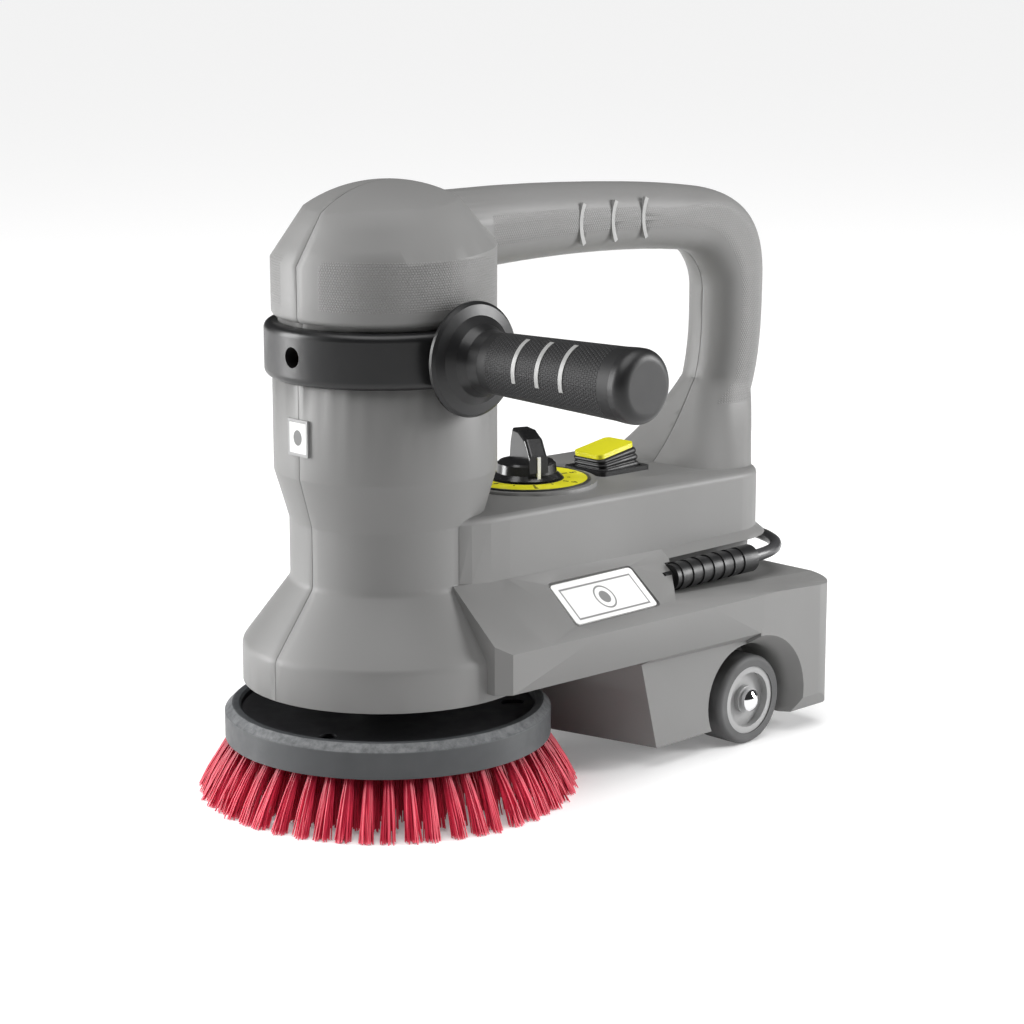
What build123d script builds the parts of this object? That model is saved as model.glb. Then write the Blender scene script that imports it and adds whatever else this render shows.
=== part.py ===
from build123d import *
import os
from math import atan, atan2, ceil, cos, degrees, hypot, pi, radians, sin, tan

# Compact rotary floor machine: an upright motor head over a disc brush, a two-wheeled chassis behind it,
# a carrying loop from the head's cap to the chassis, and a screw-in side handle.
# Millimetres. Origin: the brush axis on the floor. +X to the rear, -Y the side with the side handle and
# the cord, +Z up. The moulded body splits into two shells on the plane Y = 0.

# ---- driving dimensions ----
WALL = 3.0              # moulded wall of the body shells

BRUSH_R = 85.0          # bristle tips on the floor: a 170 mm working width
BLOCK_R = 73.3          # brush block
BLOCK_Z = (25.3, 40.3)
PLATE_R = 66.0          # recessed top of the brush block

SKIRT_R = 64.8          # wide foot of the head
NECK_R = 43.0           # waist of the head
BARREL_R = 49.4         # upper barrel and cap
HEAD_Z0 = 51.9
COLLAR_Z = (188.8, 213.0)
COLLAR_R = 52.7
GROOVE_R = 46.5         # seat of the collar on the barrel
SOCKET_Z = 201.0        # height of the side handle's sockets
SOCKET_FACE_R = 45.9    # outer end of the threaded bushes, just inside the collar
CAP_Z0 = 215.0
CAP_SHOULDER_Z = 243.0
CROWN_R = 34.0          # where the crown's cone turns into its dome
CROWN_Z = 263.5
CAP_TOP_Z = 273.0
CAP_TILT = 4.0          # the cap's crown rises to the rear

REAR_X = 221.0          # rear face of the chassis
CHASSIS_HALF_W = 80.0
WHEEL_X = 163.3
WHEEL_R = 21.5
WHEEL_FACE_Y = 73.7
WHEEL_W = 21.0
AXLE_R = 4.0
ARCH_R = 26.5           # wheel arch in the inner panel
ARCH_LIP_R = 32.0       # the arch widens to this at the outer flank
PANEL_Y = 71.0          # inner panel beside the wheel
BOX_Z0 = 10.5           # underside of the wheel box
BOX_FRONT = (84.5, 72.5)  # its front wall leans forward: X at the bottom and at the top, on the parting plane
BOX_SWEEP = 17.0        # the front wall stands this much further back at the inner panels
FLANK_Z = (55.5, 73.5)  # upright band of the chassis flank
SHOULDER_Y = 47.0       # flank of the upper block
UPPER_REAR_X = 213.0    # rear of the upper block
UPPER_CORNER = 27.0
LIP_Z = (92.5, 96.0)    # lip that hangs over the low deck
LIP_OUT = 4.9
BLOCK_TOP_Z = 126.0     # deck that carries the knob and the switch
SEAM = 0.15             # half of the joint between the two shells

LOOP_HALF_W = 17.0      # carrying loop
LOOP_ROUND = 15.0

KNOB_X = 87.0
KNOB_R = 16.8
SWITCH_X = 141.0
INLAY_X = (105.0, 126.0, 146.5)
GRIP_INLAY_Y = (95.0, 109.0, 123.0)
PLATE_AT = (76.0, 61.5)   # middle of the nameplate on the left shoulder: X and the distance from the seam
PLATE_SIZE = (52.0, 23.0)
ROCKER_REST = 9.0       # at rest the rear end of the rocker stands up
ROCKER_PIVOT_Z = 122.0
PIN_R = 1.5
BOOT_Y = -57.0
BOOT_Z = 85.2
BOOT_X = (124.0, 180.0)
BOOT_R = 6.6

CORD_D = 6.0
CORD_LENGTH = 10000.0   # the whole cord, coil included
COIL_TURNS = (6, 5)     # turns beside each other, turns on each other
COIL_PITCH = 6.2
COIL_MEAN_R = 51.0
COIL_AT = (175.0, 162.0)
PLUG_HALF_H = 12.0      # the plug is flattened above and below
PLUG_Z = 43.5           # height of its axis: it lies on the coil

GEAR_MODULE = 1.25
PINION_TEETH = 12
WHEEL_TEETH = 36
LAYSHAFT_X = GEAR_MODULE * (PINION_TEETH + WHEEL_TEETH) / 2
SHAFT_GAP = 0.05        # running clearance on a radius
TOUCH_GAP = 0.3         # room between curved faces that move past each other


# ---- small helpers ----
def rod(radius, z0, z1, at=(0, 0)):
    """An upright cylinder from z0 to z1."""
    return Pos(at[0], at[1], z0) * Cylinder(radius, z1 - z0, align=(Align.CENTER, Align.CENTER, Align.MIN))


def ring(outer, inner, z0, z1, at=(0, 0)):
    return rod(outer, z0, z1, at) - rod(inner, z0 - 1, z1 + 1, at)


def rod_y(radius, y0, y1, x, z):
    """A cylinder along Y from y0 to y1."""
    low, high = min(y0, y1), max(y0, y1)
    return Pos(x, low, z) * Rot(-90, 0, 0) * Cylinder(
        radius, high - low, align=(Align.CENTER, Align.CENTER, Align.MIN))


def block(x, y, z):
    """A box from three (low, high) pairs."""
    return Pos((x[0] + x[1]) / 2, (y[0] + y[1]) / 2, (z[0] + z[1]) / 2) * Box(
        x[1] - x[0], y[1] - y[0], z[1] - z[0])


def turned(points):
    """A solid turned about Z from (radius, z) points."""
    return revolve(make_face(Polyline(*[(r, 0, z) for r, z in points], close=True)), Axis.Z)


def outline_xy(points, z0, z1):
    return extrude(Pos(0, 0, z0) * make_face(Polyline(*points, close=True)), z1 - z0)


def mirrored(solid):
    return mirror(solid, Plane.XZ)


def both_sides(solid):
    return solid + mirrored(solid)


# ---- body of the machine, as a function of how far its skin is set in ----
def head(inset=0.0):
    """Skirt, waist and barrel. The cavity is open below."""
    foot = HEAD_Z0 - (2 if inset else 0)
    skirt, waist, barrel = SKIRT_R - inset, NECK_R - inset, BARREL_R - inset
    profile = [(0, foot), (skirt, foot), (skirt, 69.4 - 0.4 * inset), (waist, 98.4 - 0.4 * inset),
               (waist, 125.2 + 0.3 * inset), (barrel, 147.3 + 0.3 * inset)]
    if inset:
        seat = GROOVE_R - WALL
        profile += [(barrel, 182), (seat, 186), (seat, CAP_Z0 + 6), (0, CAP_Z0 + 6)]
        return turned(profile)
    profile += [(barrel, CAP_Z0), (0, CAP_Z0)]
    face = make_face(Polyline(*[(r, 0, z) for r, z in profile], close=True))
    creases = face.vertices().filter_by(lambda v: 60 < v.Z < 160)
    return revolve(fillet(creases, 6.0), Axis.Z)


def cap(inset=0.0):
    """Upright drum with a crown that is a steep cone below and a shallow dome above."""
    drum = rod(BARREL_R - inset, CAP_Z0 + inset, CAP_TOP_Z + 12)
    drop = 1.2 * inset
    slope = (CAP_SHOULDER_Z - CROWN_Z) / (BARREL_R - CROWN_R)
    wide = 62.0
    crown_line = Polyline((0, 0, 190), (wide, 0, 190),
                          (wide, 0, CAP_SHOULDER_Z + slope * (wide - BARREL_R) - drop),
                          (CROWN_R, 0, CROWN_Z - drop))
    crown_arc = ThreePointArc((CROWN_R, 0, CROWN_Z - drop), (18, 0, CAP_TOP_Z - 2.4 - drop),
                              (0, 0, CAP_TOP_Z - drop))
    face = make_face(crown_line + crown_arc + Line((0, 0, CAP_TOP_Z - drop), (0, 0, 190)))
    crown = revolve(face, Axis.Z)
    pivot = Pos(0, 0, CAP_SHOULDER_Z)
    tilted = pivot * Rot(0, -CAP_TILT, 0) * Pos(0, 0, -CAP_SHOULDER_Z) * crown
    return drum & tilted


def half_width(x):
    """Half width of the flank's upright band along the chassis."""
    return 74.0 + (CHASSIS_HALF_W - 74.0) * min(1.0, max(0.0, x / 165.0))


def flank_section(x, shoulder, shoulder_z, inset):
    w = half_width(x) - inset
    top = (shoulder - 0.6 * inset, shoulder_z - inset)
    right = [top, (w, FLANK_Z[1] - 0.4 * inset), (w, FLANK_Z[0] + inset)]
    points = right + [(-y, z) for y, z in reversed(right)]
    return make_face(Polyline(*[(x, y, z) for y, z in points], close=True))


def lower_body(inset=0.0):
    """Flank with an upright band and a sloped shoulder, from beside the skirt to the rear face."""
    stations = [(inset, 43.5, 99.5), (28, SHOULDER_Y, 98.8), (60, SHOULDER_Y, 98), (130, SHOULDER_Y, LIP_Z[1]),
                (165, SHOULDER_Y, LIP_Z[1]), (REAR_X - inset, SHOULDER_Y, LIP_Z[1])]
    body = loft([flank_section(x, w, z, inset) for x, w, z in stations], ruled=True)
    nose = outline_xy([(-5, 90), (-5, 66 - inset), (9, 76 - inset), (9, 90)], 30, 120)
    body -= both_sides(nose)
    corner = rear_corner(inset)
    return body - corner


def rear_corner(inset=0.0, radius=15.0):
    """What rounds the two upright rear corners of the chassis."""
    x, y = REAR_X - inset, CHASSIS_HALF_W - inset
    square = block((x - radius, x + 20), (y - radius, y + 20), (-10, 130))
    return both_sides(square - rod(radius, -10, 130, (x - radius, y - radius)))


def wheel_box_plan(front_x, inset):
    """Outline of the wheel box: a shallow V in front, wider behind the wheels than before them."""
    half = [(front_x + inset, 0), (front_x + BOX_SWEEP + inset, PANEL_Y - inset), (WHEEL_X, PANEL_Y - inset),
            (WHEEL_X, CHASSIS_HALF_W - inset), (REAR_X - inset, CHASSIS_HALF_W - inset)]
    return make_face(Polyline(*half, *[(x, -y) for x, y in reversed(half[1:])], close=True))


def wheel_box(inset=0.0):
    """Box that carries the wheels, with a front wall that leans forward and chamfers below."""
    z0, z1 = BOX_Z0 + inset, FLANK_Z[0] + 2 + inset
    box = loft([Pos(0, 0, z0) * wheel_box_plan(BOX_FRONT[0], inset),
                Pos(0, 0, z1) * wheel_box_plan(BOX_FRONT[1], inset)], ruled=True)
    x, y = REAR_X - inset, CHASSIS_HALF_W - inset
    heel = Polyline((x - 6, 0, 0), (x - 6, 0, z0), (x, 0, z0 + 7), (x + 9, 0, z0 + 7), (x + 9, 0, 0), close=True)
    box -= extrude(make_face(heel), 100, both=True)
    sill = Polyline((0, y - 4, 0), (0, y - 4, z0), (0, y, z0 + 7), (0, y + 9, z0 + 7), (0, y + 9, 0), close=True)
    box -= both_sides(Pos(WHEEL_X, 0, 0) * extrude(make_face(sill), 100, both=True))
    return box - rear_corner(inset)


def flank_return():
    """Sloped band below the flank that runs in to the panel beside the wheel."""
    sections = []
    for x, low in ((90, 51.8), (WHEEL_X, 50.0)):
        points = [(PANEL_Y - 0.5, low), (half_width(x), FLANK_Z[0] + 0.01), (PANEL_Y - 0.5, FLANK_Z[0] + 0.5)]
        sections.append(make_face(Polyline(*[(x, y, z) for y, z in points], close=True)))
    return both_sides(loft(sections, ruled=True))


def deck_section(x, grow):
    """Everything above the low deck at x: the deck is flat beside the block and falls towards its edge."""
    edge = 78.0 - 0.068 * (x - 111.0) - grow
    middle = 78.8 - 0.0525 * (x - 111.0) - grow
    fall = (middle - edge) / 18.0
    half = [(62, middle), (100, middle - 38 * fall), (100, 140)]
    points = half + [(-y, z) for y, z in reversed(half)]
    return make_face(Polyline(*[(x, y, z) for y, z in points], close=True))


def niche(grow=0.0):
    """Air over the low deck: all that is above it behind the slanted end wall of the flank."""
    far = REAR_X + 20
    above_deck = loft([deck_section(100, grow), deck_section(far, grow)], ruled=True)
    behind_wall = Polyline((100 - grow, 0, 67), (129 - grow, 0, LIP_Z[0]), (129 - grow, 0, 145),
                           (far + 5, 0, 145), (far + 5, 0, 50), (100 - grow, 0, 50), close=True)
    return above_deck & extrude(make_face(behind_wall), 110, both=True)


def channel(grow=0.0):
    """Cable channel: below the lip, the block's wall over the deck is set in."""
    core = extrude(Pos(0, 0, 40) * block_plan(SHOULDER_Y - 3 - grow, UPPER_REAR_X - 4 - grow,
                                              UPPER_CORNER - 3 - grow, 60), 80)
    return (niche(grow) & block((60, 260), (-110, 110), (40, LIP_Z[0] + grow))) - core


def block_plan(half, rear, corner, front):
    """Plan of the upper block: straight flanks and a rounded rear."""
    plan = Polyline((front, half), (rear, half), (rear, -half), (front, -half), close=True)
    face = make_face(plan)
    return fillet(face.vertices().filter_by(lambda v: v.X > rear - 1), corner)


def upper_block(inset=0.0):
    """Raised housing with the controls. It runs into the waist of the head."""
    plan = block_plan(SHOULDER_Y - inset, UPPER_REAR_X - inset, UPPER_CORNER - inset, 4)
    body = extrude(Pos(0, 0, 60 + inset) * plan, BLOCK_TOP_Z + 8 - 60)
    slope = Polyline((0, 0, BLOCK_TOP_Z + 2.5 - inset), (REAR_X + 20, 0, BLOCK_TOP_Z - 2.5 - inset),
                     (REAR_X + 20, 0, 150), (0, 0, 150), close=True)
    body -= extrude(make_face(slope), 100, both=True)
    y = SHOULDER_Y + 0.05 - inset
    cheek = outline_xy([(2, 60), (2, y - 4.6), (10, y - 2.2), (20, y - 0.6), (32, y), (32, 60)], 50, 140)
    body -= both_sides(cheek)
    if not inset:
        rim = body.faces().sort_by(Axis.Z)[-1].edges()
        body = fillet(rim, 3.0)
    return body


def lip():
    """The foot of the upper block flares out over the low deck."""
    wide = block_plan(SHOULDER_Y + LIP_OUT, UPPER_REAR_X + 4, UPPER_CORNER + LIP_OUT, 110)
    narrow = block_plan(SHOULDER_Y, UPPER_REAR_X, UPPER_CORNER, 110)
    return loft([Pos(0, 0, LIP_Z[0]) * wide, Pos(0, 0, LIP_Z[1]) * narrow], ruled=True)


def loop_handle(inset=0.0):
    """Carrying loop: a bar from the cap, a round elbow and an upright that leans back."""
    i = inset
    outer = (Line((20, 266 - i), (66, 266 - i))
             + Spline((66, 266 - i), (135, 263.5 - i), (196, 258 - i),
                      tangents=((1, -0.01), (1, -0.14)))
             + Spline((196, 258 - i), (229, 245 - 0.8 * i), (242 - i, 212),
                      tangents=((1, -0.14), (0, -1)))
             + Spline((242 - i, 212), (238 - i, 165), (221 - i, 118),
                      tangents=((0, -1), (-0.3, -1))))
    inner = (Line((221 - i, 118), (176 + i, 118))
             + Spline((176 + i, 118), (194.5 + i, 144), (206.5 + i, 179), (207.5 + i, 206),
                      tangents=((0.55, 1), (0, 1)))
             + Spline((207.5 + i, 206), (203 + i, 219 + i), (190, 227.3 + i),
                      tangents=((0, 1), (-1, 0.12)))
             + Spline((190, 227.3 + i), (130, 231.5 + i), (20, 228 + i),
                      tangents=((-1, 0.12), (-1, -0.08)))
             + Line((20, 228 + i), (20, 266 - i)))
    side = Plane.XZ * make_face(outer + inner)
    loop = extrude(side, LOOP_HALF_W - i, both=True)
    long_edges = [e for e in loop.edges() if abs(abs(e.center().Y) - (LOOP_HALF_W - i)) < 0.01
                  and e.center().X > 30 and e.center().Z > 119]
    return fillet(long_edges, LOOP_ROUND - i)


def loop_root(inset=0.0):
    """Flared root that spreads the upright over the deck of the upper block."""
    i = inset
    sections = []
    for z, x0, x1, half, corner in ((118, 165, 211.5, 43, 22), (128, 177, 216, 36, 18),
                                    (143, 190, 226, 25, 14), (163, 203, 234, 16.4, 14.5)):
        rect = Pos((x0 + x1) / 2, 0, z) * RectangleRounded(x1 - x0 - 2 * i, 2 * half - 2 * i, corner - i)
        sections.append(rect)
    return loft(sections)


def wheel_pocket(grow=0.0):
    """Room for one wheel: the arch is upright in the inner panel and widens through the flank."""
    inner_y = WHEEL_FACE_Y - WHEEL_W - 3 - grow
    z = WHEEL_R + 0.5
    widening = (ARCH_LIP_R - ARCH_R) / (CHASSIS_HALF_W - PANEL_Y)
    beyond = 12.0
    flare = Pos(WHEEL_X, PANEL_Y - grow, z) * Rot(-90, 0, 0) * Cone(
        ARCH_R + grow, ARCH_R + grow + widening * (beyond + grow), beyond + grow,
        align=(Align.CENTER, Align.CENTER, Align.MIN))
    return rod_y(ARCH_R + grow, inner_y, 72, WHEEL_X, z) + flare


def deck_top_z(x):
    """The control deck on the upper block falls a little to the rear."""
    return BLOCK_TOP_Z + 2.5 - 5.0 * x / (REAR_X + 20)


def knob_boss():
    return rod(33, 118, 128.6, (KNOB_X, 0))


def screw_places():
    """(x, z) of the screws that hold the two shells together."""
    return [(-28, 243), (120, 247), (225, 190), (203, 106), (58, 113), (124, 24), (207, 30)]


def body_shells():
    """The two moulded halves, with bosses for the screws between them."""
    outside = head() + cap() + lower_body()
    outside -= niche()
    outside += upper_block() + lip()
    outside -= channel()
    outside += wheel_box() + flank_return() + loop_root() + loop_handle() + knob_boss()
    outside -= both_sides(wheel_pocket())

    inside = lower_body(WALL) - niche(WALL) + wheel_box(WALL)
    inside += upper_block(WALL) - channel(WALL)
    inside += loop_root(WALL) + loop_handle(WALL) + cap(WALL)
    inside += head(WALL)
    inside -= both_sides(wheel_pocket(2.5))
    bosses = [rod_y(4.5, -100, 100, x, z) for x, z in screw_places()]
    inside -= bosses

    body = outside - inside
    body -= ring(BARREL_R + 5, GROOVE_R, COLLAR_Z[0], CAP_Z0)
    body -= cap_edge()
    for turn in (-90, 90, 180):
        body -= Rot(0, 0, turn) * Pos(0, 0, SOCKET_Z) * Rot(0, 90, 0) * Cylinder(7.0, 60, align=(
            Align.CENTER, Align.CENTER, Align.MIN))
    for x, z in screw_places():
        body -= rod_y(1.7, -14, 30, x, z)
        body -= rod_y(3.9, 6, 100, x, z)
    body -= rod_y(AXLE_R, -90, 90, WHEEL_X, WHEEL_R)
    body -= rod(3.6, 118, 140, (KNOB_X, 0))
    body -= block((SWITCH_X - 13.5, SWITCH_X + 13.5), (-10.5, 10.5), (112, 140))
    body -= block((122, 205), (-46, 46), (0, BOX_Z0 + WALL + 0.01))
    body -= cord_passage()
    body -= plate_pocket()
    body -= loop_inlays(0.0)
    left = body & left_half()
    right = body & mirrored(left_half())
    return left, right


def left_half():
    """Space of the left shell: it stops short of the parting plane, and meets it only under the collar."""
    return block((-100, 260), (-100, -SEAM), (0, 290)) + block((-60, -20), (-1, 0), COLLAR_Z)


def cap_edge():
    """What rounds the lower edge of the cap."""
    radius = BARREL_R - GROOVE_R
    drum = rod(BARREL_R, CAP_Z0, CAP_Z0 + 10)
    drum = fillet(drum.edges().group_by(Axis.Z)[0], radius - 0.05)
    return ring(BARREL_R + 5, GROOVE_R, CAP_Z0 - 0.1, CAP_Z0 + radius - 0.1) - drum


def cord_passage():
    """Stepped hole in the end wall of the niche for the cord's strain relief."""
    hole = rod(3.3, -6, 1) + rod(BOOT_R + 0.4, -0.1, 18)
    return Pos(BOOT_X[0], BOOT_Y, BOOT_Z) * Rot(0, 90, 0) * hole


def flank_frame(x=PLATE_AT[0], across=PLATE_AT[1]):
    """Plane on the sloped shoulder of the left flank, at x, with its normal outwards."""
    top, low = (SHOULDER_Y, 97.4), (half_width(x), FLANK_Z[1])
    down = Vector(0, -(low[0] - top[0]), low[1] - top[1]).normalized()
    share = (across - top[0]) / (low[0] - top[0])
    z = top[1] + share * (low[1] - top[1])
    normal = Vector(1, 0, 0).cross(-down)
    if normal.Y > 0:
        normal = -normal
    return Plane(origin=(x, -across, z), x_dir=(1, 0, 0), z_dir=normal)


def plate_pocket():
    long, high = PLATE_SIZE
    return extrude(flank_frame() * RectangleRounded(long + 2.4, high + 2.4, 2.4), 1.2, both=True)


def nameplate():
    return extrude(flank_frame().offset(-1.2) * RectangleRounded(*PLATE_SIZE, 1.8), 1.0)


# ---- collar and side handle ----
def collar_ring():
    outer = Pos(0, 0, COLLAR_Z[0]) * Cylinder(COLLAR_R, COLLAR_Z[1] - COLLAR_Z[0],
                                              align=(Align.CENTER, Align.CENTER, Align.MIN))
    outer = fillet(outer.edges(), 3.5)
    collar = outer - rod(GROOVE_R + 0.05, 180, 220)
    for turn in (-90, 90, 180):
        collar -= Rot(0, 0, turn) * Pos(0, 0, SOCKET_Z) * Rot(0, 90, 0) * Cylinder(4.5, 60, align=(
            Align.CENTER, Align.CENTER, Align.MIN))
    return collar


def collar_inserts():
    """Three threaded bushes behind the collar: left, right and front."""
    bushes = []
    for turn in (-90, 90, 180):
        bush = Cylinder(7.0, 12, align=(Align.CENTER, Align.CENTER, Align.MIN))
        bush -= Pos(0, 0, -1) * Cylinder(4.0, 14, align=(Align.CENTER, Align.CENTER, Align.MIN))
        bushes.append(Rot(0, 0, turn) * Pos(SOCKET_FACE_R - 12, 0, SOCKET_Z) * Rot(0, 90, 0) * bush)
    return Compound(children=bushes)


def on_handle_axis(solid):
    """Lay a solid made along +Z onto the side handle's axis, outwards along -Y."""
    return Pos(0, 0, SOCKET_Z) * Rot(90, 0, 0) * solid


def side_handle_core():
    """Flange with a trumpet root, and the tube that the grip sits on."""
    core = turned([(4.6, 52.9), (17, 52.9), (23, 54.2), (24.8, 56), (24.8, 57.4), (23.5, 58.6),
                   (19, 59.6), (15.6, 62.5), (13.8, 67), (13.0, 72), (10, 72), (10, 150), (4.6, 150)])
    return on_handle_axis(core)


def side_grip():
    grip = turned([(10.0, 72.05), (13.0, 72.05), (13.4, 80), (15.1, 144), (15.5, 150), (10.0, 150)])
    for y in GRIP_INLAY_Y:
        grip -= inlay_arc(y, 0.0)
    return on_handle_axis(grip)


def inlay_arc(y, gap):
    """Narrow arc let into the grip, on the side that faces up and forward."""
    radius = 13.4 + (y - 80) * (15.1 - 13.4) / 64
    band = ring(radius + 0.35, radius - 1.2, y - 1.1 + gap, y + 1.1 - gap)
    wedge = outline_xy([(0, 0), (40, -38), (40, 38)], y - 5, y + 5)
    return band & (Rot(0, 0, 154) * wedge)


def side_grip_inlays():
    return Compound(children=[on_handle_axis(inlay_arc(y, 0.02)) for y in GRIP_INLAY_Y])


def side_handle_end():
    """Rounded end of the side handle."""
    end = rod(15.5, 150.05, 157.6)
    end = fillet(end.edges().group_by(Axis.Z)[-1], 5.0)
    return on_handle_axis(end)


def side_handle_stud():
    stud = rod(3.95, 37, 49) + rod(4.4, 49, 52.9) + rod(4.55, 52.9, 120)
    return on_handle_axis(stud)


def loop_inlays(gap=0.02):
    """Three curved bars let into each flank of the carrying loop."""
    bars = []
    for x in INLAY_X:
        outer, inner = 22.0 - gap, 19.8 + gap
        arc = ring(outer, inner, -0.9, 0.9) & outline_xy([(0, 0), (-30, -15), (-30, 15)], -2, 2)
        for side in (-1, 1):
            y = side * (LOOP_HALF_W + 0.3 - 0.9)
            bars.append(Pos(x + 21, y, 247) * Rot(90, 0, 0) * arc)
    return Compound(children=bars)


# ---- brush and its drive ----
def brush_block():
    outer = turned([(20, BLOCK_Z[0]), (BLOCK_R, BLOCK_Z[0]), (BLOCK_R, BLOCK_Z[1] - 3.2),
                    (BLOCK_R - 3.2, BLOCK_Z[1]), (PLATE_R + 1, BLOCK_Z[1]), (PLATE_R, BLOCK_Z[1] - 1),
                    (PLATE_R, 35.5), (20, 35.5)])
    return outer


def brush_top_plate():
    plate = ring(PLATE_R - 0.2, 18, 35.6, 37.2)
    hole = Pos(-56, 0, 36) * extrude(SlotOverall(11, 7), 10, both=True)
    for turn in (20, 140, 260):
        plate -= Rot(0, 0, turn) * hole
    return plate


def bristle_ring(tip_out, tip_in, root_out, root_in, foot=0.0):
    top = BLOCK_Z[0] - 0.05
    return turned([(tip_in, foot), (tip_out, foot), (root_out, top), (root_in, top)])


def brush_socket():
    """Hub of the brush that clips on the spindle's driver."""
    hub = ring(19.8, 8.3, 22, 35.5) + ring(17.8, 8.3, 35.5, 41)
    return hub


def spindle():
    """Output shaft with its driver for the brush."""
    shaft = rod(5.0, 24, 66) + rod(8.2, 26, 41) + ring(11, 4.9, 41.1, 42.8)
    return shaft - rod(1.6, 20, 32)


def gear(teeth, z0, z1, bore, phase=0.0, at=(0, 0)):
    """Spur gear with straight-flanked teeth. A tooth points along +X at phase 0."""
    pitch_r = GEAR_MODULE * teeth / 2
    tip_r, root_r = pitch_r + 0.8 * GEAR_MODULE, pitch_r - 1.1 * GEAR_MODULE
    step = 2 * pi / teeth
    points = []
    for n in range(teeth):
        middle = n * step + radians(phase)
        for r, share in ((root_r, -0.33), (pitch_r, -0.21), (tip_r, -0.1),
                         (tip_r, 0.1), (pitch_r, 0.21), (root_r, 0.33)):
            angle = middle + share * step
            points.append((at[0] + r * cos(angle), at[1] + r * sin(angle)))
    return outline_xy(points, z0, z1) - rod(bore, z0 - 1, z1 + 1, at)


def drive_gear():
    return gear(WHEEL_TEETH, 59.5, 66, 5.0)


def layshaft_pinion():
    return gear(PINION_TEETH, 58.8, 68.5, 3.0, phase=180 + 180 / PINION_TEETH, at=(LAYSHAFT_X, 0))


def layshaft_gear():
    return gear(WHEEL_TEETH, 69, 75.5, 3.0, at=(LAYSHAFT_X, 0))


def layshaft():
    return rod(3.0, 56.2, 79.8, (LAYSHAFT_X, 0))


def motor_pinion():
    return gear(PINION_TEETH, 67.5, 77.5, 2.5, phase=180 / PINION_TEETH)


def bearing(outer, bore, z0, z1, at=(0, 0)):
    return ring(outer, bore + SHAFT_GAP, z0, z1, at)


def gear_case():
    """Lower cover of the head with the spindle's bearing boss."""
    case = ring(61.2, 13.0, 53.0, 56.0) + ring(16, 13.0, 43.2, 56.0)
    case += ring(8, 3.0 + SHAFT_GAP, 56, 58, (LAYSHAFT_X, 0))
    case += ring(61.2, 58.5, 56, 66)
    return case - rod(3.0 + SHAFT_GAP, 50, 60, (LAYSHAFT_X, 0)) - rod(13.0, 43, 57)


def gear_plate():
    """Upper plate of the gearbox; it carries the motor's lower bearing."""
    plate = rod(50, 79.5, 82.5) + rod(13, 82.5, 88)
    plate -= rod(8.0, 79, 86) + rod(4.5, 78, 90)
    return plate - rod(3.0 + SHAFT_GAP, 78, 84, (LAYSHAFT_X, 0))


def stator():
    """Laminated stack with two pole pieces round the armature."""
    core = ring(38.5, 30, 106, 150)
    for turn in (0, 180):
        pole = block((23.6, 32), (-14, 14), (106, 150)) - rod(24.6, 100, 155)
        core += Rot(0, 0, turn) * pole
    return core


def field_coils():
    """Windings on the two poles, seen at both ends of the stack."""
    loops = []
    for turn in (0, 180):
        coil = block((25.5, 31.5), (-21, 21), (100, 156)) - block((20, 40), (-14.2, 14.2), (105.8, 150.2))
        coil -= rod(25.2, 90, 160)
        coil = coil & rod(29.8, 90, 160)
        loops.append(Rot(0, 0, turn) * coil)
    return Compound(children=loops)


def armature():
    """Slotted armature stack on the motor shaft."""
    core = rod(24.0, 107, 149)
    for n in range(12):
        core -= Rot(0, 0, 30 * n) * block((19.5, 26), (-1.6, 1.6), (106, 150))
    return core - rod(4.0, 100, 160)


def motor_shaft():
    return rod(4.0, 78, 186) + rod(2.5, 67, 78)


def commutator():
    body = ring(11.5, 4.0, 157, 171)
    for n in range(24):
        body -= Rot(0, 0, 15 * n) * block((10.7, 12.5), (-0.3, 0.3), (156, 172))
    return body


def fan():
    """Cooling fan below the armature."""
    hub = ring(9, 4.0, 90, 98) + ring(32, 8.5, 90, 91.5)
    blade = block((8.5, 32), (-0.8, 0.8), (91.5, 98.5))
    for n in range(9):
        hub += Rot(0, 0, 40 * n) * blade
    return hub


def carbon_brushes():
    pair = [block((11.9, 26), (-3, 3), (160, 167)), block((-26, -11.9), (-3, 3), (160, 167))]
    return Compound(children=pair)


def brush_holders():
    one = block((16, 34), (-5, 5), (158, 169)) - block((10, 30), (-3.1, 3.1), (159.9, 167.1))
    return Compound(children=[one, Rot(0, 0, 180) * one])


def motor_bracket():
    """Bridge over the motor that carries its upper bearing and the brush holders."""
    bridge = block((-44, 44), (-11, 11), (169.2, 173)) & rod(45.5, 160, 190)
    bridge += rod(13, 173, 182)
    bridge += block((-38, -34.2), (-9, 9), (150.1, 170)) + block((34.2, 38), (-9, 9), (150.1, 170))
    return bridge - rod(12.2, 168, 173.1) - rod(8.0, 175, 183) - rod(4.5, 160, 190)


# ---- chassis pieces ----
def tyre(side):
    y1, y0 = WHEEL_FACE_Y, WHEEL_FACE_Y - WHEEL_W
    tread = rod_y(WHEEL_R, y0, y1, WHEEL_X, WHEEL_R)
    tread = fillet(tread.edges(), 2.5)
    tread -= rod_y(16.2, y0 - 1, y1 + 1, WHEEL_X, WHEEL_R)
    return tread if side > 0 else mirrored(tread)


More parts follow.
